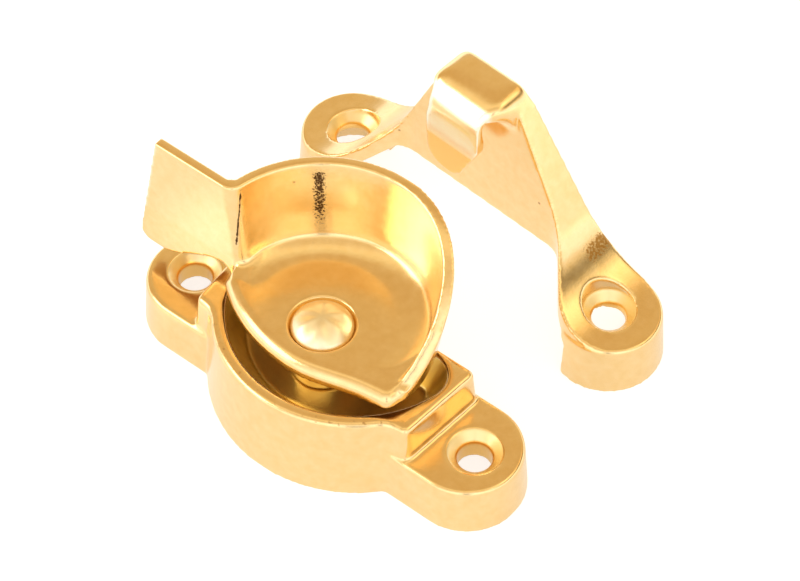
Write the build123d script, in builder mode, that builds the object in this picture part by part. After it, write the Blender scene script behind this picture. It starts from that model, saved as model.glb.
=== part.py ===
"""Window lock: a riveted cam lock for the lower sash and its keeper for the upper sash, in millimetres.

The frame stands on the mounting plane at the middle of the lock's screw holes: +X runs along the holes, +Y towards
the keeper, +Z up. The cam is drawn locked, with its open edge turned away from the keeper.
"""
import os
from math import asin, atan2, cos, degrees, radians, sin, sqrt, tan

from build123d import *

# Lock base: lugs
hole_spacing = 54.0
lug_span = 51.0
lug_width = 18.4
lug_height = 9.0
lug_plate = 5.0
lug_wall = 2.2
lug_draft = 4.0
lug_round = 0.6
screw_bore = 5.2
screw_head = 8.3
screw_angle = 90.0

# Lock base: block
drum_radius = 22.9
drum_setback = 5.9
block_height = 15.3
block_draft = 5.0
block_land = 2.3
block_flare = 1.4
block_back = 9.0
block_step = 0.4
block_cove = 3.0
block_corner = 2.3
block_wall = 3.0
rim_width = 1.9
rim_back = 0.95
pocket_depth = 5.5
pocket_corner = 4.7
pocket_draft = 30.0
floor_plate = 2.6
edge_round = 0.8

# Cam
pivot_y = -1.9
cam_gap = 1.4
cam_plate = 2.7
cam_radius = 17.5
cam_front = 8.2
cam_side = 0.1
cam_tip_angle = -17.5
cam_lip = 1.9
cam_tip_round = 1.6
cam_hub = 10.0
wall_height = 14.6
wall_thickness = 1.6
wall_lean = 9.4
wall_root = 0.4
cove_width = 4.6
cove_rise = 1.9
cove_front = 1.2
cove_fade = 0.25
rim_fall_start = 14.0
rim_fall_view = -45.0

# Thumb lever
lever_y = 0.0
lever_thickness = 1.6
lever_lean = 5.7
lever_back_lean = 2.0
lever_bend = 2.2
lever_heel = 0.7
lever_reach = 33.2
lever_flare = 2.8
lever_drop = 3.7
lever_root_rise = 1.4
lever_root_x = 19.6
lever_toe = 2.0

# Rivet and washers
shank = 5.0
rivet_head = 9.4
rivet_rise = 1.9
recess_depth = 1.0
recess_width = 10.2
tail_head = 8.0
tail_depth = 1.7
cam_bore_clearance = 0.05
base_bore_clearance = 0.08
washer_diameter = 12.0
washer_thickness = 0.8
bow_diameter = 11.4
bow_thickness = 0.5
bow_height = 1.3
washer_clearance = 0.2
seat = 0.05

# Keeper
keeper_x = 0.3
keeper_y = 35.24
keeper_turn = -4.27
keeper_spacing = 53.2
keeper_lug = 17.6
keeper_lug_height = 9.0
keeper_plate = 2.8
keeper_skirt = 2.2
keeper_height = 41.2
ridge_width = 11.7
ramp_angle = 65.0
ramp_sweep = 18.0
ridge_round = 2.7
web_y = 0.1
web_width = 31.6
web_plate = 2.5
web_foot = 13.6
web_cove = 5.0
splay_bite = 0.95
back_foot = 8.0
back_top = 3.15
skirt_gap = 49.0
shoulder_width = 33.0
flange = 2.4
nose_front = 6.3
nose_left = 5.6
nose_right = 4.9
nose_thickness = 1.8
nose_foot = 23.6
nose_bevel = 31.5
nose_rake = 0.7
nose_lowest = 0.2
nose_right_rise = 9.0
nose_taper = 0.2
nose_left_round = 3.5
nose_foot_round = 2.6
nose_shoulder = 2.6
nose_brow = 5.5
bridge_plate = 3.2
bridge_flare = 2.0
bridge_cove = 6.0

os.makedirs("parts", exist_ok=True)

# Heights of the stack, all from the sizes above
pocket_floor = block_height - pocket_depth
floor_under = pocket_floor - floor_plate
cam_under = block_height + cam_gap
cam_floor = cam_under + cam_plate
rim_top = cam_floor + wall_height
lever_foot = cam_under - lever_drop
bow_foot = floor_under - bow_height
washer_top = bow_foot - seat
washer_foot = washer_top - washer_thickness
pivot_axis = Axis((0, pivot_y, 0), (0, 0, 1))
pivot_section = Plane(origin=(0, pivot_y, 0), x_dir=(1, 0, 0), z_dir=(0, -1, 0))

# Base: the lugs and the round-fronted block, drafted, with the dished pocket on top and cored from below
front_y = block_step - lug_width / 2
cove_x = sqrt((drum_radius + block_cove) ** 2 - (drum_setback - front_y + block_cove) ** 2)
block_front_width = 2 * (cove_x + block_land)
block_back_width = block_front_width + 2 * block_flare
drum_x = cove_x * drum_radius / (drum_radius + block_cove)
drum_y = drum_setback - (drum_setback - front_y + block_cove) * drum_radius / (drum_radius + block_cove)
block_shrink = block_height * tan(radians(block_draft))
pocket_radius = drum_radius - block_shrink - rim_width
pocket_back = block_back - block_shrink - rim_back
pocket_corner_x = sqrt((pocket_radius - pocket_corner) ** 2 - (drum_setback - pocket_back + pocket_corner) ** 2)
pocket_side_x = pocket_corner_x * pocket_radius / (pocket_radius - pocket_corner)
pocket_side_y = drum_setback - (drum_setback - pocket_back + pocket_corner) * pocket_radius / (pocket_radius - pocket_corner)
with BuildPart() as base:
    with BuildSketch():
        SlotCenterToCenter(lug_span, lug_width)
    extrude(amount=lug_height, taper=lug_draft)
    fillet(base.faces().sort_by(Axis.Z)[-1].outer_wire().edges(), radius=lug_round)
    with BuildSketch() as block_outline:
        with BuildLine():
            Polyline(
                (cove_x, front_y),
                (block_front_width / 2, front_y),
                (block_back_width / 2, block_back),
                (-block_back_width / 2, block_back),
                (-block_front_width / 2, front_y),
                (-cove_x, front_y),
            )
            RadiusArc((-cove_x, front_y), (-drum_x, drum_y), block_cove)
            ThreePointArc((-drum_x, drum_y), (0, drum_setback - drum_radius), (drum_x, drum_y))
            RadiusArc((drum_x, drum_y), (cove_x, front_y), block_cove)
        make_face()
        fillet(block_outline.vertices().filter_by(lambda v: abs(v.X) > block_front_width / 2 - 0.01), radius=block_corner)
    extrude(amount=block_height, taper=block_draft)
    fillet(base.faces().sort_by(Axis.Z)[-1].outer_wire().edges(), radius=edge_round)
    with BuildSketch(Plane.XY.offset(block_height)):
        with BuildLine():
            ThreePointArc(
                (-pocket_side_x, pocket_side_y), (0, drum_setback - pocket_radius), (pocket_side_x, pocket_side_y)
            )
            RadiusArc((pocket_side_x, pocket_side_y), (pocket_corner_x, pocket_back), -pocket_corner)
            Line((pocket_corner_x, pocket_back), (-pocket_corner_x, pocket_back))
            RadiusArc((-pocket_corner_x, pocket_back), (-pocket_side_x, pocket_side_y), -pocket_corner)
        make_face()
    extrude(amount=-pocket_depth, taper=pocket_draft, mode=Mode.SUBTRACT)
    with BuildSketch():
        SlotCenterToCenter(lug_span, lug_width - 2 * lug_wall)
    extrude(amount=lug_height - lug_plate, mode=Mode.SUBTRACT)
    with BuildSketch():
        with Locations((0, drum_setback)):
            Circle(drum_radius - block_wall)
        with Locations((0, block_back - block_wall)):
            Rectangle(
                block_front_width - 2 * block_wall, 4 * drum_radius, align=(Align.CENTER, Align.MAX), mode=Mode.INTERSECT
            )
    extrude(amount=floor_under, mode=Mode.SUBTRACT)
    with BuildSketch(Plane.XY.offset(floor_under)):
        with Locations((0, pivot_y)):
            Circle(shank / 2 + base_bore_clearance)
    extrude(amount=floor_plate, mode=Mode.SUBTRACT)
    with Locations((-hole_spacing / 2, 0, lug_height), (hole_spacing / 2, 0, lug_height)):
        CounterSinkHole(
            radius=screw_bore / 2,
            counter_sink_radius=screw_head / 2,
            depth=lug_height,
            counter_sink_angle=screw_angle,
        )
base.part.label = "base"

# Cam: leaning wall with its thumb lever, dished floor, open front edge and hub, cast in one
fall = Plane(
    origin=(0, pivot_y, 0),
    x_dir=(cos(radians(rim_fall_view)), sin(radians(rim_fall_view)), 0),
    z_dir=(sin(radians(rim_fall_view)), -cos(radians(rim_fall_view)), 0),
)
plate_radius = cam_radius - cam_plate * tan(radians(wall_lean)) - wall_thickness / 10
tip_x = plate_radius * cos(radians(cam_tip_angle))
tip_y = plate_radius * sin(radians(cam_tip_angle))
wall_end_y = tip_y + cam_lip + cam_tip_round / 2
reach = 3 * lever_reach
lever_far = lever_reach + 3 * lever_flare
foot_radius = cam_radius - wall_thickness - wall_root
foot_end_x = sqrt(foot_radius**2 - wall_end_y**2)
fall_end = foot_end_x * cos(radians(rim_fall_view)) + wall_end_y * sin(radians(rim_fall_view))
foot_bend_y = lever_y - pivot_y - wall_height * tan(radians(lever_lean)) + lever_bend
foot_bend_x = -sqrt((foot_radius + lever_bend) ** 2 - foot_bend_y**2)
bend_turn = degrees(atan2(foot_bend_y, foot_bend_x))
bend_axis = Axis((foot_bend_x, pivot_y + foot_bend_y, 0), (0, 0, 1))
cove_plane = Plane(
    origin=(0, pivot_y, 0),
    x_dir=(cos(radians(bend_turn)), sin(radians(bend_turn)), 0),
    z_dir=(sin(radians(bend_turn)), -cos(radians(bend_turn)), 0),
)

# The dish at the foot of the wall, round the cup and on round the bend to the lever, fading out towards the tip
with BuildPart() as dish:
    for axis, arc in ((pivot_axis, bend_turn - cam_tip_angle), (bend_axis, 90 - (180 - bend_turn))):
        with BuildSketch(cove_plane):
            with BuildLine():
                Polyline(
                    (foot_radius - cove_width, cam_floor),
                    (foot_radius - cove_width, cam_floor - cam_plate / 2),
                    (foot_radius + wall_thickness / 2, cam_floor - cam_plate / 2),
                    (foot_radius + wall_thickness / 2, cam_floor + cove_rise),
                )
                RadiusArc(
                    (foot_radius + wall_thickness / 2, cam_floor + cove_rise),
                    (foot_radius - cove_width, cam_floor),
                    (cove_width + wall_thickness / 2) * 1.6,
                )
            make_face()
        revolve(axis=axis, revolution_arc=-arc)
    with BuildSketch(Plane((0, pivot_y, 0))):
        Circle(plate_radius)
    extrude(amount=rim_top, mode=Mode.INTERSECT)
    with BuildSketch(Plane.YZ):
        with BuildLine():
            Polyline(
                (pivot_y - cove_front, cam_floor),
                (pivot_y - cove_front + reach, cam_floor + reach * cove_fade),
                (pivot_y - cove_front + reach, 2 * reach),
                (-reach, 2 * reach),
                (-reach, -reach),
                (pivot_y - cove_front, -reach),
                close=True,
            )
        make_face()
    extrude(amount=reach, both=True, mode=Mode.SUBTRACT)

with BuildPart() as cam_lever:
    with BuildSketch(Plane((0, pivot_y, cam_under))):
        Circle(plate_radius)
    extrude(amount=cam_plate, taper=-wall_lean)
    with BuildSketch(Plane((0, pivot_y, cam_under))):
        with BuildLine():
            Spline(
                (-cam_radius, -cam_side * cam_radius),
                (0, -cam_front),
                (cam_radius, tip_y),
                tangents=((1, -0.85), (1, 0), (1, 0)),
            )
            Polyline(
                (cam_radius, tip_y),
                (reach, tip_y),
                (reach, -reach),
                (-lever_root_x, -reach),
                (-lever_root_x, -cam_side * cam_radius),
                (-cam_radius, -cam_side * cam_radius),
            )
        make_face()
    extrude(amount=cam_plate, mode=Mode.SUBTRACT)
    tip_edge = cam_lever.edges().sort_by_distance((tip_x, pivot_y + tip_y, cam_under + cam_plate / 2))[0]
    fillet(tip_edge, radius=cam_tip_round)
    lip = cam_lever.faces().sort_by(Axis.Z)[-1].edges().filter_by(GeomType.CIRCLE, reverse=True)
    fillet(lip, radius=cam_lip)
    for height in (lever_foot - lever_toe, rim_top + lever_toe):
        outer_radius = cam_radius + (height - cam_floor) * tan(radians(wall_lean))
        inner_radius = outer_radius - wall_thickness - wall_root * (rim_top - height) / wall_height
        front = lever_y - pivot_y - (rim_top - height) * tan(radians(lever_lean))
        back = lever_y - pivot_y + lever_thickness - (rim_top - height) * tan(radians(lever_back_lean))
        bend_y = front + lever_bend
        bend_x = -sqrt((inner_radius + lever_bend) ** 2 - bend_y**2)
        bend_share = inner_radius / (inner_radius + lever_bend)
        heel_y = back + lever_heel
        heel_x = -sqrt((outer_radius + lever_heel) ** 2 - heel_y**2)
        heel_share = outer_radius / (outer_radius + lever_heel)
        outer_tip = degrees(asin(wall_end_y / outer_radius))
        inner_tip = degrees(asin(wall_end_y / inner_radius))
        with BuildSketch(Plane((0, pivot_y, height))):
            with BuildLine():
                CenterArc((0, 0), outer_radius, outer_tip, degrees(atan2(heel_y, heel_x)) - outer_tip)
                RadiusArc((heel_x * heel_share, heel_y * heel_share), (heel_x, back), -lever_heel)
                Polyline((heel_x, back), (-lever_far, back), (-lever_far, front), (bend_x, front))
                RadiusArc((bend_x, front), (bend_x * bend_share, bend_y * bend_share), -lever_bend)
                CenterArc((0, 0), inner_radius, inner_tip, degrees(atan2(bend_y, bend_x)) - inner_tip)
                Line(
                    (inner_radius * cos(radians(inner_tip)), wall_end_y),
                    (outer_radius * cos(radians(outer_tip)), wall_end_y),
                )
            make_face()
    loft(ruled=True)
    with BuildSketch(Plane.XZ) as lever_cut:
        with BuildLine():
            Line((reach, cam_under), (-cam_radius, cam_under))
            Line((-cam_radius, cam_under), (-lever_root_x, cam_under + lever_root_rise))
            Spline(
                (-lever_root_x, cam_under + lever_root_rise),
                (-lever_reach + lever_toe, lever_foot),
                tangents=((-1, -0.15), (-1, -0.25)),
            )
            Polyline(
                (-lever_reach + lever_toe, lever_foot),
                (-lever_reach - lever_flare, lever_foot),
                (-lever_reach, rim_top),
                (-lever_reach, 2 * rim_top),
                (-reach, 2 * rim_top),
                (-reach, -rim_top),
                (reach, -rim_top),
                (reach, cam_under),
            )
        make_face()
        toe = lever_cut.vertices().sort_by_distance((-lever_reach - lever_flare, lever_foot, 0))[0]
        fillet(toe, radius=lever_toe)
    extrude(amount=reach, both=True, mode=Mode.SUBTRACT)
    add(dish.part)
    with BuildSketch(fall):
        with BuildLine():
            TangentArc((-rim_fall_start, rim_top), (fall_end, cam_floor), tangent=(1, 0))
            Polyline(
                (fall_end, cam_floor),
                (reach, cam_floor),
                (reach, 2 * rim_top),
                (-reach, 2 * rim_top),
                (-reach, rim_top),
                (-rim_fall_start, rim_top),
            )
        make_face()
    extrude(amount=reach, both=True, mode=Mode.SUBTRACT)
    with BuildSketch(Plane((0, pivot_y, pocket_floor + seat))):
        Circle(cam_hub / 2)
    extrude(amount=cam_under - pocket_floor - seat)
    with BuildSketch(pivot_section):
        with BuildLine():
            Polyline(
                (0, 0),
                (shank / 2 + cam_bore_clearance, 0),
                (shank / 2 + cam_bore_clearance, cam_floor - recess_depth),
                (rivet_head / 2 + cam_bore_clearance, cam_floor - recess_depth),
                (recess_width / 2, cam_floor),
                (recess_width / 2, rim_top),
                (0, rim_top),
                close=True,
            )
        make_face()
    revolve(axis=pivot_axis, mode=Mode.SUBTRACT)
cam_lever.part.label = "cam_lever"

# Rivet: domed head in the cam's recess, shank through hub and base, tail spread over the flat washer
head_foot = cam_floor - recess_depth + seat
with BuildPart() as pivot_rivet:
    with BuildSketch(pivot_section):
        with BuildLine():
            Polyline(
                (0, cam_floor + rivet_rise),
                (0, washer_foot - seat - tail_depth),
            )
            ThreePointArc(
                (0, washer_foot - seat - tail_depth),
                (tail_head * 0.36, washer_foot - seat - tail_depth * 0.72),
                (tail_head / 2, washer_foot - seat),
            )
            Polyline(
                (tail_head / 2, washer_foot - seat),
                (shank / 2, washer_foot - seat),
                (shank / 2, head_foot),
                (rivet_head / 2, head_foot),
                (rivet_head / 2, head_foot + recess_depth / 2),
            )
            Spline(
                (rivet_head / 2, head_foot + recess_depth / 2),
                (0, cam_floor + rivet_rise),
                tangents=((-0.55, 1), (-1, 0)),
            )
        make_face()
    revolve(axis=pivot_axis)
pivot_rivet.part.label = "pivot_rivet"

# Bowed washer: a flat ring bent to an arc, its crown against the base's floor
with BuildPart() as bow_washer:
    with BuildSketch(pivot_section):
        crown = floor_under - seat
        drop = bow_height - bow_thickness - seat
        half = bow_diameter / 2
        with BuildLine():
            ThreePointArc((-half, crown - drop), (0, crown), (half, crown - drop))
            Line((half, crown - drop), (half, crown - drop - bow_thickness))
            ThreePointArc(
                (half, crown - drop - bow_thickness), (0, crown - bow_thickness), (-half, crown - drop - bow_thickness)
            )
            Line((-half, crown - drop - bow_thickness), (-half, crown - drop))
        make_face()
    extrude(amount=bow_diameter, both=True)
    with BuildSketch(Plane((0, pivot_y, 0))):
        Circle(bow_diameter / 2)
        Circle(shank / 2 + washer_clearance, mode=Mode.SUBTRACT)
    extrude(amount=block_height, mode=Mode.INTERSECT)
bow_washer.part.label = "bow_washer"

# Flat washer under the bowed one, held by the rivet's tail
with BuildPart() as flat_washer:
    with BuildSketch(Plane((0, pivot_y, washer_foot))):
        Circle(washer_diameter / 2)
        Circle(shank / 2 + washer_clearance, mode=Mode.SUBTRACT)
    extrude(amount=washer_thickness)
flat_washer.part.label = "flat_washer"

# Keeper: arch on two skirted lugs, hollow behind and below, with the nose hanging in front of its web
turn = radians(keeper_turn)
keeper_plan = Plane(origin=(keeper_x, keeper_y, 0), x_dir=(cos(turn), sin(turn), 0), z_dir=(0, 0, 1))
keeper_face = Plane(origin=keeper_plan.origin, x_dir=keeper_plan.x_dir, z_dir=-keeper_plan.y_dir)
keeper_side = Plane(origin=keeper_plan.origin, x_dir=keeper_plan.y_dir, z_dir=keeper_plan.x_dir)
keeper_hole = keeper_spacing / 2
ramp_foot = ridge_width / 2 + (keeper_height - keeper_lug_height) / tan(radians(ramp_angle))
end = keeper_hole + keeper_lug
splay_from = keeper_hole - web_width / 2
splay_reach = keeper_lug / 2 - splay_bite
web_splay = atan2(web_y, splay_from) + asin(splay_reach / sqrt(splay_from**2 + web_y**2))
splay_chord = sqrt((keeper_lug / 2) ** 2 - splay_reach**2)
splay_x = keeper_hole - splay_reach * sin(web_splay) + splay_chord * cos(web_splay) + lug_round / 4
splay_y = web_y - (splay_x - web_width / 2) * tan(web_splay)
splay_foot_x = keeper_hole - splay_reach * sin(web_splay)
splay_foot_y = -splay_reach * cos(web_splay)
lug_top = keeper_lug / 2 - keeper_lug_height * tan(radians(lug_draft)) - lug_round / 2
flange_run = flange / sin(radians(ramp_angle))
recess_top = ridge_width / 2 + flange / tan(radians(ramp_angle)) - flange_run
recess_foot = recess_top + (keeper_height - web_foot) / tan(radians(ramp_angle))
plate_under = keeper_lug_height - keeper_plate
nose_back = nose_thickness - nose_front
slot_round = web_y - nose_back
bridge_foot = keeper_height - bridge_plate - slot_round

# The keeper's arch: ridge, ramps and sweeps, cut to the band's plan and the leaning back
with BuildPart() as arch:
    with BuildSketch(keeper_face) as arch_face:
        with BuildLine():
            Polyline(
                (-end, keeper_lug_height),
                (-ramp_foot, keeper_lug_height),
                (-ridge_width / 2, keeper_height),
                (ridge_width / 2, keeper_height),
                (ramp_foot, keeper_lug_height),
                (end, keeper_lug_height),
                (end, keeper_lug_height - keeper_plate),
                (-end, keeper_lug_height - keeper_plate),
                close=True,
            )
        make_face()
        fillet(arch_face.vertices().filter_by(lambda v: abs(abs(v.X) - ramp_foot) < 0.01), radius=ramp_sweep)
        fillet(arch_face.vertices().filter_by(lambda v: abs(v.Y - keeper_height) < 0.01), radius=ridge_round)
    extrude(amount=2 * keeper_lug, both=True)
    with BuildSketch(keeper_plan) as band:
        with BuildLine():
            Polyline(
                (-web_width / 2, web_y),
                (-splay_foot_x, splay_foot_y),
                (-keeper_hole, 0),
                (-keeper_hole, lug_top),
                (keeper_hole, lug_top),
                (keeper_hole, 0),
                (splay_foot_x, splay_foot_y),
                (web_width / 2, web_y),
                close=True,
            )
        make_face()
        with Locations((-keeper_hole, 0), (keeper_hole, 0)):
            Circle(lug_top)
        for side in (-1, 1):
            with BuildLine():
                Polyline(
                    (side * web_width / 2, web_y),
                    (side * splay_x, splay_y),
                    (side * splay_x, -keeper_lug),
                    (side * web_width / 2, -keeper_lug),
                    close=True,
                )
            make_face(mode=Mode.SUBTRACT)
        coves = band.vertices().filter_by(lambda v: abs(v.Y - web_y) < 0.01 and abs(abs(v.X) - web_width / 2) < 0.01)
        fillet(coves, radius=web_cove)
    extrude(amount=2 * keeper_height, mode=Mode.INTERSECT)
    with BuildSketch(keeper_side):
        with BuildLine():
            Polyline(
                (back_foot, keeper_lug_height),
                (back_top, keeper_height),
                (back_top, 2 * keeper_height),
                (end, 2 * keeper_height),
                (end, keeper_lug_height),
                close=True,
            )
        make_face()
    extrude(amount=end, both=True, mode=Mode.SUBTRACT)

# The keeper's nose: hooks over from the ridge and hangs in front of the web, its foot lowest off the middle
with BuildPart() as nose:
    with BuildSketch(keeper_side):
        with BuildLine():
            RadiusArc((nose_brow - nose_front, keeper_height), (-nose_front, keeper_height - nose_brow), -nose_brow)
            Polyline(
                (-nose_front, keeper_height - nose_brow),
                (-nose_front, nose_bevel),
                (nose_rake - nose_front, nose_foot),
                (nose_back, nose_foot),
                (nose_back, keeper_height - bridge_plate),
                (web_y + web_plate / 2, keeper_height - bridge_plate),
                (web_y + web_plate / 2, keeper_height),
                (nose_brow - nose_front, keeper_height),
            )
        make_face()
    extrude(amount=nose_left, both=True)
    with BuildSketch(keeper_face) as nose_face:
        with BuildLine():
            Polyline(
                (-nose_left, nose_foot),
                (nose_lowest, nose_foot),
                (nose_right - nose_taper, nose_foot + nose_right_rise),
                (nose_right, keeper_height),
                (-nose_left, keeper_height),
                close=True,
            )
        make_face()
        fillet(nose_face.vertices().filter_by(lambda v: abs(v.Y - keeper_height) < 0.01), radius=nose_shoulder)
        fillet(nose_face.vertices().sort_by_distance((-nose_left, nose_foot, 0))[0], radius=nose_left_round)
        fillet(nose_face.vertices().sort_by_distance((nose_lowest, nose_foot, 0))[0], radius=nose_foot_round)
    extrude(amount=2 * keeper_lug, both=True, mode=Mode.INTERSECT)

# The bridge from ridge to nose: as wide as the nose in front, flaring into the arch behind
with BuildPart() as bridge:
    with BuildSketch(keeper_plan.offset(bridge_foot)):
        with BuildLine():
            Line((-nose_left, nose_back), (nose_right, nose_back))
            RadiusArc((nose_right, nose_back), (nose_right + bridge_flare, web_y), -bridge_cove)
            Polyline(
                (nose_right + bridge_flare, web_y),
                (nose_right + bridge_flare, web_y + web_plate / 2),
                (-nose_left - bridge_flare, web_y + web_plate / 2),
                (-nose_left - bridge_flare, web_y),
            )
            RadiusArc((-nose_left - bridge_flare, web_y), (-nose_left, nose_back), -bridge_cove)
        make_face()
    extrude(amount=keeper_height - bridge_foot)
    with BuildSketch(keeper_side):
        with BuildLine():
            Polyline(
                (web_y, bridge_foot),
                (web_y + web_plate, bridge_foot),
                (web_y + web_plate, keeper_height),
                (nose_brow - nose_front, keeper_height),
            )
            RadiusArc((nose_brow - nose_front, keeper_height), (-nose_front, keeper_height - nose_brow), -nose_brow)
            Polyline(
                (-nose_front, keeper_height - nose_brow),
                (-nose_front, bridge_foot),
                (nose_back, bridge_foot),
                (nose_back, bridge_foot + slot_round),
            )
            RadiusArc((nose_back, bridge_foot + slot_round), (web_y, bridge_foot), slot_round)
        make_face()
    extrude(amount=2 * keeper_lug, both=True, mode=Mode.INTERSECT)
    extrude(arch_face.sketch, amount=2 * keeper_lug, both=True, mode=Mode.INTERSECT)

# The keeper: its lugs with their skirts, the arch and the nose, cored from below and behind
with BuildPart() as keeper:
    with BuildSketch(keeper_plan):
        with Locations((-keeper_hole, 0), (keeper_hole, 0)):
            Circle(keeper_lug / 2)
        for side in (-1, 1):
            with BuildLine():
                Polyline(
                    (side * web_width / 2, web_y),
                    (side * splay_x, splay_y),
                    (side * splay_x, -keeper_lug),
                    (side * web_width / 2, -keeper_lug),
                    close=True,
                )
            make_face(mode=Mode.SUBTRACT)
    extrude(amount=keeper_lug_height, taper=lug_draft)
    fillet(keeper.faces().filter_by(Axis.Z).group_by(Axis.Z)[-1].edges(), radius=lug_round)
    add(arch.part)
    with BuildSketch(keeper_face):
        with BuildLine():
            Polyline(
                (-skirt_gap / 2, -keeper_plate),
                (skirt_gap / 2, -keeper_plate),
                (skirt_gap / 2, plate_under),
                (shoulder_width / 2, web_foot),
                (-shoulder_width / 2, web_foot),
                (-skirt_gap / 2, plate_under),
                close=True,
            )
        make_face()
    extrude(amount=2 * keeper_lug, both=True, mode=Mode.SUBTRACT)
    with BuildSketch(keeper_plan):
        with Locations((-keeper_hole, 0), (keeper_hole, 0)):
            Circle(keeper_lug / 2 - keeper_skirt)
    extrude(amount=plate_under, mode=Mode.SUBTRACT)
    with BuildSketch(keeper_face.offset(-web_y - web_plate)):
        with BuildLine():
            Polyline(
                (-recess_top, keeper_height - flange),
                (-recess_foot, web_foot - flange),
                (recess_foot, web_foot - flange),
                (recess_top, keeper_height - flange),
                close=True,
            )
        make_face()
    extrude(amount=-keeper_lug, mode=Mode.SUBTRACT)
    add(bridge.part)
    add(nose.part)
    with Locations(
        keeper_plan.offset(keeper_lug_height) * Location((-keeper_hole, 0, 0)),
        keeper_plan.offset(keeper_lug_height) * Location((keeper_hole, 0, 0)),
    ):
        CounterSinkHole(
            radius=screw_bore / 2,
            counter_sink_radius=screw_head / 2,
            depth=keeper_lug_height,
            counter_sink_angle=screw_angle,
        )
keeper.part.label = "keeper"

export_step(base.part, "parts/base.step")
export_step(cam_lever.part, "parts/cam_lever.step")
export_step(pivot_rivet.part, "parts/pivot_rivet.step")
export_step(bow_washer.part, "parts/bow_washer.step")
export_step(flat_washer.part, "parts/flat_washer.step")
export_step(keeper.part, "parts/keeper.step")
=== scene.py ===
"""Window lock in polished, brass-plated castings: a cam lock with a thumb lever, and its keeper beside it."""

import math

import bpy
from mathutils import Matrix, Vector


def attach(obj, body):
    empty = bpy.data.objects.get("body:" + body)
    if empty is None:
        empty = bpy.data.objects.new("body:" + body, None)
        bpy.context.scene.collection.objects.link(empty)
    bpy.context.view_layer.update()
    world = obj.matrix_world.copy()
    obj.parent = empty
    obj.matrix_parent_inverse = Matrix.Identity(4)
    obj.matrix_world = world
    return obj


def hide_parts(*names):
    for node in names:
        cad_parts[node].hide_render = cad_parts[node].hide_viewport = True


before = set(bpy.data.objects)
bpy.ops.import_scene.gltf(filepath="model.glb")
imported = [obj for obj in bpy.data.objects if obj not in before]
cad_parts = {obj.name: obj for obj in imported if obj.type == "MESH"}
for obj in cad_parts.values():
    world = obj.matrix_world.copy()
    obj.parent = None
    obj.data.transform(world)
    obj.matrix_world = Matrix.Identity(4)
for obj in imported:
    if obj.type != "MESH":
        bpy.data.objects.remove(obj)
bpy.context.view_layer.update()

# Base of the lock: one zinc die casting, tumbled smooth, bright-plated in brass and lacquered.
# Two countersunk lugs carry its screws, and the round-fronted block between them holds the cam's rivet.
# The pieces' places and sizes are millimetres in the shared frame, and MM turns them into metres.
MM = 0.001
UP = (0, 0, 1)
DOWN = (0, 0, -1)


def cast_copy(node, piece_name, grain, softening):
    """A cast skin over a CAD solid: same form, with the edges rounded as tumbling and plating leave them."""
    bpy.ops.object.select_all(action="DESELECT")
    piece = bpy.data.objects.new(piece_name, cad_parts[node].data.copy())
    bpy.context.scene.collection.objects.link(piece)
    piece.select_set(True)
    bpy.context.view_layer.objects.active = piece
    piece.data.materials.clear()
    bpy.ops.object.mode_set(mode="EDIT")
    bpy.ops.mesh.select_all(action="SELECT")
    bpy.ops.mesh.remove_doubles(threshold=1e-7)
    bpy.ops.object.mode_set(mode="OBJECT")
    skin = piece.modifiers.new("cast skin", "REMESH")
    skin.mode = "VOXEL"
    skin.voxel_size = grain * MM
    skin.use_smooth_shade = True
    soft = piece.modifiers.new("tumbled edges", "SMOOTH")
    soft.factor = 0.5
    soft.iterations = softening
    for modifier in (skin.name, soft.name):
        bpy.ops.object.modifier_apply(modifier=modifier)
    bpy.ops.object.shade_smooth()
    return piece


WAVE_SCALE = 260
PEEL_SCALE = 2600
PEEL_SHARE = 0.20
TONE_SCALE = 600
PIT_SCALE = 90
PIT_CORE = 0.012
PIT_EDGE = 0.028
PIT_DEPTH = 0.6


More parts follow.
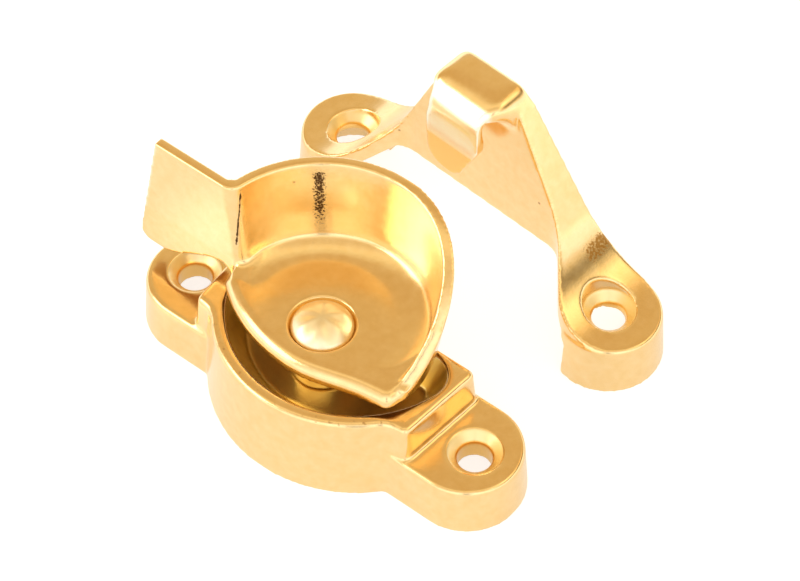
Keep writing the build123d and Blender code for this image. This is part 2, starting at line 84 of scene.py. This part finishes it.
def plated_surface():
    """Plating over a tumbled casting: slow waviness, fine orange peel, faint tone changes and a few pits."""
    group = bpy.data.node_groups.new("plated surface", "ShaderNodeTree")
    for name in ("Waviness", "Peel", "Pits"):
        socket = group.interface.new_socket(name=name, in_out="INPUT", socket_type="NodeSocketFloat")
        socket.default_value = 1.0
    for name in ("Height", "Tone", "Pit"):
        group.interface.new_socket(name=name, in_out="OUTPUT", socket_type="NodeSocketFloat")
    nodes, links = group.nodes, group.links
    inlet = nodes.new("NodeGroupInput")
    outlet = nodes.new("NodeGroupOutput")
    place = nodes.new("ShaderNodeTexCoord")

    def noise(scale, detail, roughness):
        texture = nodes.new("ShaderNodeTexNoise")
        texture.inputs["Scale"].default_value = scale
        texture.inputs["Detail"].default_value = detail
        texture.inputs["Roughness"].default_value = roughness
        links.new(place.outputs["Object"], texture.inputs["Vector"])
        return texture.outputs["Fac"]

    def combine(operation, first, second):
        arithmetic = nodes.new("ShaderNodeMath")
        arithmetic.operation = operation
        for socket, value in zip(arithmetic.inputs, (first, second)):
            if isinstance(value, (int, float)):
                socket.default_value = value
            else:
                links.new(value, socket)
        return arithmetic.outputs[0]

    wave = combine("MULTIPLY", noise(WAVE_SCALE, 1.0, 0.5), inlet.outputs["Waviness"])
    peel = combine("MULTIPLY", noise(PEEL_SCALE, 2.0, 0.5), inlet.outputs["Peel"])
    spots = nodes.new("ShaderNodeTexVoronoi")
    spots.inputs["Scale"].default_value = PIT_SCALE
    links.new(place.outputs["Object"], spots.inputs["Vector"])
    near = nodes.new("ShaderNodeMapRange")
    near.inputs["From Min"].default_value = PIT_CORE
    near.inputs["From Max"].default_value = PIT_EDGE
    near.inputs["To Min"].default_value = 1.0
    near.inputs["To Max"].default_value = 0.0
    links.new(spots.outputs["Distance"], near.inputs["Value"])
    pit = combine("MULTIPLY", near.outputs["Result"], inlet.outputs["Pits"])
    height = combine("ADD", wave, combine("MULTIPLY", peel, PEEL_SHARE))
    links.new(combine("SUBTRACT", height, combine("MULTIPLY", pit, PIT_DEPTH)), outlet.inputs["Height"])
    links.new(noise(TONE_SCALE, 3.0, 0.6), outlet.inputs["Tone"])
    links.new(pit, outlet.inputs["Pit"])
    return group


PLATED_SURFACE = plated_surface()
CAST_TONES = ((0.93, 0.66, 0.305, 1), (0.97, 0.72, 0.375, 1))
CAST_GLOSS = (0.15, 0.23)
PIT_BROWN = (0.42, 0.22, 0.06, 1)


def brass_plate(name, waviness, peel, pits, tones=CAST_TONES, gloss=CAST_GLOSS):
    """Bright brass plating under clear lacquer."""
    material = bpy.data.materials.new(name)
    material.use_nodes = True
    nodes, links = material.node_tree.nodes, material.node_tree.links
    shader = nodes["Principled BSDF"]
    shader.inputs["Metallic"].default_value = 1.0
    shader.inputs["Coat Weight"].default_value = 0.35
    shader.inputs["Coat Roughness"].default_value = 0.08
    surface = nodes.new("ShaderNodeGroup")
    surface.node_tree = PLATED_SURFACE
    surface.inputs["Waviness"].default_value = waviness
    surface.inputs["Peel"].default_value = peel
    surface.inputs["Pits"].default_value = pits
    tone = nodes.new("ShaderNodeValToRGB")
    for element, position, colour in zip(tone.color_ramp.elements, (0.30, 0.70), tones):
        element.position = position
        element.color = colour
    links.new(surface.outputs["Tone"], tone.inputs["Fac"])
    dark = nodes.new("ShaderNodeMix")
    dark.data_type = "RGBA"
    dark.inputs["B"].default_value = PIT_BROWN
    links.new(surface.outputs["Pit"], dark.inputs["Factor"])
    links.new(tone.outputs["Color"], dark.inputs["A"])
    links.new(dark.outputs["Result"], shader.inputs["Base Color"])
    rough = nodes.new("ShaderNodeMapRange")
    rough.inputs["To Min"].default_value, rough.inputs["To Max"].default_value = gloss
    links.new(surface.outputs["Tone"], rough.inputs["Value"])
    links.new(rough.outputs["Result"], shader.inputs["Roughness"])
    bump = nodes.new("ShaderNodeBump")
    bump.inputs["Strength"].default_value = 0.25
    bump.inputs["Distance"].default_value = 0.12 * MM
    links.new(surface.outputs["Height"], bump.inputs["Height"])
    links.new(bump.outputs["Normal"], shader.inputs["Normal"])
    return material


def fade(tree, value, low, high, at_low=0.0, at_high=1.0):
    """Goes softly from one number to another as a value rises from low to high."""
    step = tree.nodes.new("ShaderNodeMapRange")
    step.interpolation_type = "SMOOTHSTEP"
    for name, number in (("From Min", low), ("From Max", high), ("To Min", at_low), ("To Max", at_high)):
        step.inputs[name].default_value = number
    tree.links.new(value, step.inputs["Value"])
    return step.outputs["Result"]


def measure(tree, coordinate, direction):
    """How far a coordinate reaches along a direction."""
    place = tree.nodes.new("ShaderNodeTexCoord")
    dot = tree.nodes.new("ShaderNodeVectorMath")
    dot.operation = "DOT_PRODUCT"
    dot.inputs[1].default_value = direction
    tree.links.new(place.outputs[coordinate], dot.inputs[0])
    return dot.outputs["Value"]


def across(material, direction, low, high):
    """Mask that rises between two planes across a direction, in the piece's own coordinates."""
    tree = material.node_tree
    return fade(tree, measure(tree, "Object", direction), low * MM, high * MM)


def between(material, direction, rise, fall):
    """Two masks for a slab across a direction: one rises at its near side, one falls at its far side."""
    backwards = Vector(direction) * -1
    return [across(material, direction, *rise), across(material, backwards, -fall[1], -fall[0])]


def facing(material, direction, low, high):
    """Mask that rises as the surface turns to face a direction, in the piece's own axes."""
    tree = material.node_tree
    return fade(tree, measure(tree, "Normal", direction), low, high)


def inside_round(material, centre, low, high):
    """Mask that fills a circle in plan and fades between two radii."""
    tree = material.node_tree
    place = tree.nodes.new("ShaderNodeTexCoord")
    flatten = tree.nodes.new("ShaderNodeVectorMath")
    flatten.operation = "MULTIPLY_ADD"
    flatten.inputs[1].default_value = (1, 1, 0)
    flatten.inputs[2].default_value = (-centre[0] * MM, -centre[1] * MM, 0)
    tree.links.new(place.outputs["Object"], flatten.inputs[0])
    radius = tree.nodes.new("ShaderNodeVectorMath")
    radius.operation = "LENGTH"
    tree.links.new(flatten.outputs["Vector"], radius.inputs[0])
    return fade(tree, radius.outputs["Value"], low * MM, high * MM, 1.0, 0.0)


def speckle(material, scale, low, high):
    """Mask of fine grains."""
    tree = material.node_tree
    place = tree.nodes.new("ShaderNodeTexCoord")
    grain = tree.nodes.new("ShaderNodeTexNoise")
    grain.inputs["Scale"].default_value = scale
    grain.inputs["Detail"].default_value = 3.0
    tree.links.new(place.outputs["Object"], grain.inputs["Vector"])
    return fade(tree, grain.outputs["Fac"], low, high)


def overlap(tree, masks):
    """Where all the masks are."""
    result = masks[0]
    for mask in masks[1:]:
        product = tree.nodes.new("ShaderNodeMath")
        product.operation = "MULTIPLY"
        tree.links.new(result, product.inputs[0])
        tree.links.new(mask, product.inputs[1])
        result = product.outputs[0]
    return result


def patch(material, mask, colour, roughness):
    """Changes the plating's colour and gloss where a mask is one."""
    nodes, links = material.node_tree.nodes, material.node_tree.links
    shader = nodes["Principled BSDF"]
    tint = nodes.new("ShaderNodeMix")
    tint.data_type = "RGBA"
    gloss = nodes.new("ShaderNodeMix")
    for mix, socket, value in ((tint, "Base Color", colour), (gloss, "Roughness", roughness)):
        mix.inputs["B"].default_value = value
        links.new(mask, mix.inputs["Factor"])
        links.new(shader.inputs[socket].links[0].from_socket, mix.inputs["A"])
        links.new(mix.outputs["Result"], shader.inputs[socket])


# Painted highlight in the countersinks and painted shade in the bores, each fading between two radii in
# millimetres.
COUNTERSINK_FADE = (4.0, 4.2)
COUNTERSINK_PAINTED_LIGHT = (1.00, 0.82, 0.44, 1)
BORE_FADE = (2.75, 2.95)
BORE_PAINTED_SHADE = (1.00, 0.64, 0.20, 1)


def screw_seats(material, holes):
    """Painted light in the countersinks, paler and duller plating, and painted shade in the bores, a deeper
    yellow.
    """
    for hole in holes:
        patch(material, inside_round(material, hole, *COUNTERSINK_FADE), COUNTERSINK_PAINTED_LIGHT, roughness=0.42)
        patch(material, inside_round(material, hole, *BORE_FADE), BORE_PAINTED_SHADE, roughness=0.30)


LOCK_HOLES = ((-27.0, 0), (27.0, 0))
POCKET_CENTRE = (0, 5.9)
POCKET_PAINTED_LIGHT = (1.00, 0.76, 0.24, 1)
EDGE_BROWN = (0.50, 0.27, 0.08, 1)
base_plating = brass_plate("base brass plate", waviness=1.0, peel=1.0, pits=1.0)
# Painted light: the pocket gets a brighter, deeper yellow than the plating, standing in for light bounced
# between its brass walls.
pocket = [inside_round(base_plating, POCKET_CENTRE, 19.2, 20.4)]
pocket += between(base_plating, UP, (9.0, 9.6), (14.6, 15.2))
patch(base_plating, overlap(base_plating.node_tree, pocket), POCKET_PAINTED_LIGHT, roughness=0.34)
screw_seats(base_plating, LOCK_HOLES)
front_edge_marks = [
    across(base_plating, (0, -1, 0), 6.0, 9.0),
    across(base_plating, UP, 14.6, 15.4),
    facing(base_plating, (0, -0.8, 0.6), 0.55, 0.8),
    speckle(base_plating, scale=1300, low=0.60, high=0.70),
]
patch(base_plating, overlap(base_plating.node_tree, front_edge_marks), EDGE_BROWN, roughness=0.35)
base = cast_copy("base", "lock_base", grain=0.28, softening=12)
base.data.materials.append(base_plating)
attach(base, "castings")
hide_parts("base")

# Bowed spring washer: a punched ring of spring steel, bent to an arc, that keeps the cam tight on the base.
# It lies under the floor of the pocket, where only the open underside shows it.
STEEL = (0.56, 0.55, 0.53, 1)
ROLLED_GRAIN = (300, 9000, 300)


def washer_steel(name, shiniest, dullest):
    """Bright strip steel with a fine rolled grain."""
    material = bpy.data.materials.new(name)
    material.use_nodes = True
    nodes, links = material.node_tree.nodes, material.node_tree.links
    shader = nodes["Principled BSDF"]
    shader.inputs["Metallic"].default_value = 1.0
    shader.inputs["Base Color"].default_value = STEEL
    place = nodes.new("ShaderNodeTexCoord")
    grain_map = nodes.new("ShaderNodeMapping")
    grain_map.inputs["Scale"].default_value = ROLLED_GRAIN
    links.new(place.outputs["Object"], grain_map.inputs["Vector"])
    grain = nodes.new("ShaderNodeTexNoise")
    grain.inputs["Scale"].default_value = 1.0
    grain.inputs["Detail"].default_value = 2.0
    links.new(grain_map.outputs["Vector"], grain.inputs["Vector"])
    rough = nodes.new("ShaderNodeMapRange")
    rough.inputs["To Min"].default_value = shiniest
    rough.inputs["To Max"].default_value = dullest
    links.new(grain.outputs["Fac"], rough.inputs["Value"])
    links.new(rough.outputs["Result"], shader.inputs["Roughness"])
    return material


bow = cast_copy("bow_washer", "bow_washer_ring", grain=0.12, softening=2)
bow.data.materials.append(washer_steel("bow washer steel", shiniest=0.25, dullest=0.45))
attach(bow, "castings")
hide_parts("bow_washer")

# Cam with its thumb lever: one casting, a dished floor inside a leaning wall that runs on into the lever.
# It is plated as the base is, with painted dark reflections on the wall, painted shade underneath and a
# painted highlight on the right inner wall.
# The wall's falling end and the corners of the open edge are rubbed smooth. The cam turns on the rivet.
# Level directions as the camera sees the lock.
FRONT = (0.6246, -0.7810, 0)
BACK = (-0.6246, 0.7810, 0)
RIGHT = (0.7810, 0.6246, 0)


def fair(piece, spots, passes):
    """Rubs the cast skin down around a few spots, each a place and a reach in millimetres."""
    rubbed = piece.vertex_groups.new(name="rubbed")
    for vertex in piece.data.vertices:
        nearness = max(1.0 - (vertex.co - Vector(place) * MM).length / (reach * MM) for place, reach in spots)
        if nearness > 0:
            rubbed.add([vertex.index], min(1.0, 2.0 * nearness), "REPLACE")
    bpy.ops.object.select_all(action="DESELECT")
    piece.select_set(True)
    bpy.context.view_layer.objects.active = piece
    soft = piece.modifiers.new("rubbed down", "SMOOTH")
    soft.factor = 0.5
    soft.iterations = passes
    soft.vertex_group = rubbed.name
    bpy.ops.object.modifier_apply(modifier=soft.name)
    piece.vertex_groups.clear()


def camera_only(material):
    """1 where the camera sees the surface itself, so that the polished floor doesn't mirror a painted
    reflection.
    """
    return material.node_tree.nodes.new("ShaderNodeLightPath").outputs["Is Camera Ray"]


def broken_up(material, masks, scale):
    """Solid where the masks are full, falling into grains where they fade."""
    tree = material.node_tree
    heap = tree.nodes.new("ShaderNodeMath")
    tree.links.new(overlap(tree, masks), heap.inputs[0])
    tree.links.new(speckle(material, scale, 0.25, 0.75), heap.inputs[1])
    return fade(tree, heap.outputs[0], 0.92, 1.50)


PAINTED_REFLECTION_BLACK = (0.09, 0.04, 0.01, 1)
PAINTED_HIGHLIGHT_BRASS = (1.00, 0.86, 0.62, 1)
UNDERSIDE_PAINTED_SHADE = (0.42, 0.22, 0.06, 1)
ACROSS_DARK_LINE = (-0.640, -0.756, 0.140)
RUBBED_CORNERS = (
    ((-16.3, -0.6, 20.0), 3.2),
    ((15.8, 5.0, 26.0), 2.0),
    ((16.2, 2.5, 24.0), 2.2),
    ((15.9, 0.5, 22.5), 2.4),
    ((15.8, -1.5, 21.0), 2.6),
    ((15.5, -3.4, 19.8), 3.0),
    ((16.0, -5.6, 18.6), 3.6),
    ((16.5, -2.6, 20.0), 2.8),
    ((16.5, -3.4, 19.4), 3.2),
    ((16.2, -4.4, 19.1), 2.8),
    ((15.5, -6.4, 18.8), 2.4),
    ((-16.8, -2.1, 19.6), 2.6),
)
cam_plating = brass_plate("cam brass plate", waviness=1.0, peel=1.0, pits=0.6)
# Painted reflection: a dark, grainy streak down the cam's inner wall, where a dark thing would be mirrored;
# only the camera sees it.
wall_painted_reflection = between(cam_plating, RIGHT, (-3.2, -1.9), (-1.5, -0.2))
wall_painted_reflection += [across(cam_plating, BACK, 11.0, 12.0)]
wall_painted_reflection += between(cam_plating, UP, (20.0, 27.0), (32.0, 33.2))
wall_painted_reflection += [facing(cam_plating, FRONT, 0.0, 0.3), camera_only(cam_plating)]
patch(cam_plating, broken_up(cam_plating, wall_painted_reflection, scale=3200), PAINTED_REFLECTION_BLACK, roughness=0.4)
# Painted reflection: a dark line on the wall near the lever, where a dark thing would be mirrored in its
# rounding; only the camera sees it.
lever_line_painted_reflection = between(cam_plating, ACROSS_DARK_LINE, (14.66, 14.88), (14.98, 15.20))
lever_line_painted_reflection += [across(cam_plating, (-1, 0, 0), 15.0, 16.0)]
lever_line_painted_reflection += between(cam_plating, UP, (23.0, 24.0), (33.0, 33.6))
lever_line_painted_reflection += [facing(cam_plating, (0.9, -0.3, 0), 0.45, 0.65), camera_only(cam_plating)]
patch(cam_plating, broken_up(cam_plating, lever_line_painted_reflection, scale=1500), PAINTED_REFLECTION_BLACK, roughness=0.4)
# Painted highlight: paler, glossier brass on the cam's right inner wall above the floor.
pale_wall_painted_highlight = [facing(cam_plating, (-0.82, -0.57, 0), 0.50, 0.85), across(cam_plating, UP, 19.5, 20.5)]
patch(cam_plating, overlap(cam_plating.node_tree, pale_wall_painted_highlight), PAINTED_HIGHLIGHT_BRASS, roughness=0.22)
# Painted shade: darker brown on the cam's downward faces, darkening the pocket that mirrors them.
underside_painted_shade = [facing(cam_plating, DOWN, 0.4, 0.8), across(cam_plating, DOWN, -18.5, -17.5)]
patch(cam_plating, overlap(cam_plating.node_tree, underside_painted_shade), UNDERSIDE_PAINTED_SHADE, roughness=0.35)
cam = cast_copy("cam_lever", "cam_with_lever", grain=0.24, softening=5)
fair(cam, RUBBED_CORNERS, passes=36)
cam.data.materials.append(cam_plating)
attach(cam, "cam")
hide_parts("cam_lever")

# Flat washer: a punched ring of mild steel, bright from the press.
# It lies between the bowed washer and the rivet's spread tail, and turns with the rivet.
flat = cast_copy("flat_washer", "flat_washer_ring", grain=0.15, softening=2)
flat.data.materials.append(washer_steel("flat washer steel", shiniest=0.22, dullest=0.40))
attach(flat, "cam")
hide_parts("flat_washer")

# Pivot rivet: headed steel wire, plated in a paler, duller brass, its tail spun out below the washers.
# Its low dome is sunk in a ring on the cam's floor, and the peening tool has left shallow flutes on it.
RIVET_TONES = ((1.00, 0.84, 0.55, 1), (1.00, 0.88, 0.62, 1))
RIVET_GLOSS = (0.34, 0.42)
RIVET_AXIS = Vector((0, -1.9)) * MM
HEAD_FOOT = 19.6 * MM
HEAD_RADIUS = 4.4 * MM
FLUTES = 6
FLUTE_DEPTH = 0.20 * MM
# The flutes are deepest two thirds of the way out; this makes their depth there one.
SWELL = 27 / 4
rivet = cast_copy("pivot_rivet", "rivet", grain=0.15, softening=3)
for vertex in rivet.data.vertices:
    if vertex.co.z > HEAD_FOOT:
        arm = vertex.co.xy - RIVET_AXIS
        reach = min(1.0, arm.length / HEAD_RADIUS)
        flute = 0.5 - 0.5 * math.cos(FLUTES * math.atan2(arm.y, arm.x))
        swell = SWELL * reach * reach * (1.0 - reach)
        vertex.co.z -= FLUTE_DEPTH * flute * swell
rivet_plating = brass_plate("rivet brass plate", 0.4, 0.6, 0.0, tones=RIVET_TONES, gloss=RIVET_GLOSS)
rivet.data.materials.append(rivet_plating)
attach(rivet, "cam")
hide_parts("pivot_rivet")

# Keeper: one casting for the upper sash, plated as the base is, screwed down through two countersunk lugs.
# Its arch carries the nose that the cam draws in, with shoulders rounder than the other edges.
# A painted highlight makes the nose's face pale high up, a painted reflection makes it yellow low down, and a
# painted dark reflection streaks the foot of one ramp.
NOSE_FACE = (-0.074, -0.997, 0)
NOSE_PAINTED_REFLECTION = (1.00, 0.60, 0.14, 1)
NOSE_PAINTED_HIGHLIGHT = (1.00, 0.98, 0.84, 1)
RAMP_PAINTED_REFLECTION = (0.46, 0.23, 0.05, 1)
KEEPER_HOLES = ((26.82, 33.26), (-26.22, 37.22))
NOSE_SHOULDERS = (
    ((-5.0, 37.8, 41.0), 4.0),
    ((-5.2, 34.6, 41.0), 4.0),
    ((-5.3, 31.6, 40.2), 4.5),
    ((-5.2, 29.8, 38.2), 4.0),
    ((5.8, 37.0, 40.9), 4.0),
    ((5.6, 34.0, 40.9), 4.0),
    ((5.2, 31.2, 40.0), 4.5),
    ((5.0, 29.6, 38.2), 4.0),
    ((-2.0, 38.4, 41.0), 3.5),
    ((1.0, 38.2, 41.0), 3.5),
    ((3.8, 37.9, 41.0), 3.5),
)
keeper_plating = brass_plate("keeper brass plate", waviness=1.0, peel=1.0, pits=0.8)
nose_front = [
    across(keeper_plating, NOSE_FACE, -31.5, -30.8),
    facing(keeper_plating, NOSE_FACE, 0.35, 0.6),
    across(keeper_plating, UP, 18.0, 19.0),
]
# Painted reflection: a deep yellow low on the nose's face, where brass would be mirrored.
nose_lower_painted_reflection = nose_front + [across(keeper_plating, DOWN, -31.2, -30.4)]
patch(keeper_plating, overlap(keeper_plating.node_tree, nose_lower_painted_reflection), NOSE_PAINTED_REFLECTION, roughness=0.30)
# Painted highlight: near-white brass high on the nose's face.
nose_upper_painted_highlight = nose_front + [across(keeper_plating, UP, 31.0, 33.5)]
patch(keeper_plating, overlap(keeper_plating.node_tree, nose_upper_painted_highlight), NOSE_PAINTED_HIGHLIGHT, roughness=0.25)
# Painted reflection: a broken dark brown streak at the foot of one ramp.
ramp_painted_reflection = between(keeper_plating, (1, 0, 0), (18.8, 20.0), (20.8, 22.0))
ramp_painted_reflection += [across(keeper_plating, (0, 1, 0), 34.8, 37.6), across(keeper_plating, UP, 11.5, 12.5)]
patch(keeper_plating, broken_up(keeper_plating, ramp_painted_reflection, scale=2400), RAMP_PAINTED_REFLECTION, roughness=0.35)
screw_seats(keeper_plating, KEEPER_HOLES)
keeper = cast_copy("keeper", "lock_keeper", grain=0.25, softening=10)
fair(keeper, NOSE_SHOULDERS, passes=90)
keeper.data.materials.append(keeper_plating)
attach(keeper, "castings")
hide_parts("keeper")

# Table: a sheet of white paper that runs out of the picture on all sides and keeps the object's shadow.
# The camera sees it white; in the polished brass it glows brighter far off and in two pools of painted light.
# Its width, drop and far glow are in metres, the pools in millimetres.
TABLE_WIDTH = 3.0
TABLE_DROP = 0.02 * MM
PAPER_WHITE = (0.56, 0.56, 0.56, 1)
SEEN_GLOW = 0.76
NEAR_TABLE = 0.06
FAR_TABLE = 0.40
NEAR_GLOW = 0.50
FAR_GLOW = 1.05
# Each pool: its centre, its inner and outer reach, and how much it lifts the glow.
PAINTED_LIGHT_POOLS = (
    ((0, 20, 0), 14, 34, 0.16),
    ((-36, -24, 0), 2, 15, 0.36),
)
bpy.ops.object.select_all(action="DESELECT")
bpy.ops.mesh.primitive_plane_add(size=TABLE_WIDTH, location=(0, 0, -TABLE_DROP))
table = bpy.context.object
table.name = "table_top"
table_paper = bpy.data.materials.new("white table paper")
table_paper.use_nodes = True
paper_tree = table_paper.node_tree
paper = paper_tree.nodes["Principled BSDF"]
paper.inputs["Base Color"].default_value = PAPER_WHITE
paper.inputs["Roughness"].default_value = 0.9
paper.inputs["Specular IOR Level"].default_value = 0.0
paper.inputs["Emission Color"].default_value = (1, 1, 1, 1)
rays = paper_tree.nodes.new("ShaderNodeLightPath")
spot = paper_tree.nodes.new("ShaderNodeTexCoord")


def distance_on_table(centre):
    """How far a point of the table lies from a centre."""
    gauge = paper_tree.nodes.new("ShaderNodeVectorMath")
    gauge.operation = "DISTANCE"
    gauge.inputs[1].default_value = Vector(centre) * MM
    paper_tree.links.new(spot.outputs["Object"], gauge.inputs[0])
    return gauge.outputs["Value"]


far_lift = paper_tree.nodes.new("ShaderNodeMapRange")
far_lift.inputs["From Min"].default_value = NEAR_TABLE
far_lift.inputs["From Max"].default_value = FAR_TABLE
far_lift.inputs["To Min"].default_value = NEAR_GLOW
far_lift.inputs["To Max"].default_value = FAR_GLOW
paper_tree.links.new(distance_on_table((0, 0, 0)), far_lift.inputs["Value"])
glow = far_lift.outputs["Result"]
# Painted light: each pool lifts the table's glow where the brass mirrors it.
for centre, inner, outer, lift in PAINTED_LIGHT_POOLS:
    pool = fade(paper_tree, distance_on_table(centre), inner * MM, outer * MM, lift, 0.0)
    both = paper_tree.nodes.new("ShaderNodeMath")
    paper_tree.links.new(glow, both.inputs[0])
    paper_tree.links.new(pool, both.inputs[1])
    glow = both.outputs[0]
seen = paper_tree.nodes.new("ShaderNodeMath")
seen.operation = "MULTIPLY_ADD"
seen.inputs[1].default_value = SEEN_GLOW
paper_tree.links.new(rays.outputs["Is Camera Ray"], seen.inputs[0])
paper_tree.links.new(overlap(paper_tree, [rays.outputs["Is Glossy Ray"], glow]), seen.inputs[2])
paper_tree.links.new(seen.outputs[0], paper.inputs["Emission Strength"])
table.data.materials.append(table_paper)

# Light tent: soft cloth all round, white on the camera's side, dimmer and warmer overhead and behind.
# A pale band runs round the horizon. A gap low on the right and the camera's stand are dark, and a panel
# high on the right is brighter.
TENT_LEVEL = 1.6
TENT_BACK = (0.45, 0.40, 0.34, 1)
TENT_FRONT = (1.0, 1.0, 1.0, 1)
TENT_BETWEEN = (
    (0.08, (0.50, 0.38, 0.21, 1)),
    (0.17, (0.49, 0.37, 0.20, 1)),
    (0.215, (0.45, 0.32, 0.16, 1)),
    (0.38, (0.45, 0.32, 0.16, 1)),
    (0.48, (0.66, 0.56, 0.36, 1)),
    (0.54, (0.70, 0.59, 0.38, 1)),
    (0.60, (0.54, 0.43, 0.27, 1)),
    (0.66, (0.53, 0.42, 0.26, 1)),
    (0.78, (0.68, 0.61, 0.50, 1)),
    (0.88, (0.95, 0.93, 0.90, 1)),
)
HORIZON_WHITE = (0.85, 0.85, 0.85, 1)
world = bpy.data.worlds.new("white light tent")
bpy.context.scene.world = world
world.use_nodes = True
sky = world.node_tree
tent = sky.nodes["Background"]
front = measure(sky, "Generated", FRONT)
side = measure(sky, "Generated", RIGHT)
height = measure(sky, "Generated", UP)


def dimmed(level, masks, share):
    """Takes a share of the light away where the masks are, or adds one where the share is negative."""
    keep = sky.nodes.new("ShaderNodeMath")
    keep.operation = "MULTIPLY_ADD"
    keep.inputs[1].default_value = -share
    keep.inputs[2].default_value = 1.0
    sky.links.new(overlap(sky, masks), keep.inputs[0])
    return overlap(sky, [level, keep.outputs[0]])


depth = sky.nodes.new("ShaderNodeMapRange")
depth.inputs["From Min"].default_value = -1.0
sky.links.new(front, depth.inputs["Value"])
canopy = sky.nodes.new("ShaderNodeValToRGB")
cloth = canopy.color_ramp
cloth.elements[0].color = TENT_BACK
cloth.elements[1].color = TENT_FRONT
for position, colour in TENT_BETWEEN:
    cloth.elements.new(position).color = colour
sky.links.new(depth.outputs["Result"], canopy.inputs["Fac"])
low_gap = [
    fade(sky, height, 0.36, 0.42),
    fade(sky, height, 0.52, 0.62, 1.0, 0.0),
    fade(sky, side, 0.60, 0.80),
    fade(sky, front, 0.20, 0.40, 1.0, 0.0),
]
camera_stand = [
    fade(sky, side, -0.13, -0.07),
    fade(sky, side, 0.07, 0.13, 1.0, 0.0),
    fade(sky, front, 0.70, 0.76),
]
right_panel = [fade(sky, side, 0.40, 0.52), fade(sky, height, 0.62, 0.70)]
level = sky.nodes.new("ShaderNodeValue")
level.outputs[0].default_value = TENT_LEVEL
strength = dimmed(level.outputs[0], low_gap, share=0.72)
strength = dimmed(strength, camera_stand, share=0.55)
strength = dimmed(strength, right_panel, share=-0.70)
horizon = sky.nodes.new("ShaderNodeMix")
horizon.data_type = "RGBA"
horizon.inputs["B"].default_value = HORIZON_WHITE
sky.links.new(fade(sky, height, 0.20, 0.34, 1.0, 0.0), horizon.inputs["Factor"])
sky.links.new(canopy.outputs["Color"], horizon.inputs["A"])
sky.links.new(horizon.outputs["Result"], tent.inputs["Color"])
sky.links.new(strength, tent.inputs["Strength"])

# Soft box: one large lamp behind cloth, at the front left of the lock.
# It hangs above the table, is aimed at the keeper's nose and is placed in metres.
BOX_PLACE = Vector((-0.38, -0.40, 0.34))
BOX_AIM = Vector((0, 0.03, 0.03))
BOX_WIDTH = 0.42
BOX_HEIGHT = 0.36
BOX_WATTS = 1.05
lamp = bpy.data.lights.new("front soft box", "AREA")
lamp.shape = "RECTANGLE"
lamp.size = BOX_WIDTH
lamp.size_y = BOX_HEIGHT
lamp.energy = BOX_WATTS
soft_box = bpy.data.objects.new("front soft box", lamp)
bpy.context.scene.collection.objects.link(soft_box)
soft_box.location = BOX_PLACE
soft_box.rotation_euler = (BOX_AIM - BOX_PLACE).to_track_quat("-Z", "Y").to_euler()

# Camera: a long lens looking down across the lock's right end, as the photograph was taken.
# Its focal length is given in pixels of an 800 pixel wide picture, on a 36 mm wide sensor.
CAMERA_PLACE = Vector((183.3, -212.9, 379.1)) * MM
LOOKING_BACK = Vector((0.3883, -0.4855, 0.7833)).normalized()
SENSOR_WIDTH = 36
PICTURE_WIDTH = 800
FOCAL_PIXELS = 3116
lens = bpy.data.cameras.new("catalogue camera")
lens.sensor_width = SENSOR_WIDTH
lens.lens = FOCAL_PIXELS * SENSOR_WIDTH / PICTURE_WIDTH
lens.clip_start = 0.01
lens.clip_end = 10
camera = bpy.data.objects.new("catalogue camera", lens)
bpy.context.scene.collection.objects.link(camera)
camera.location = CAMERA_PLACE
camera.rotation_euler = (-LOOKING_BACK).to_track_quat("-Z", "Y").to_euler()
bpy.context.scene.camera = camera
bpy.context.scene.view_settings.view_transform = "Standard"
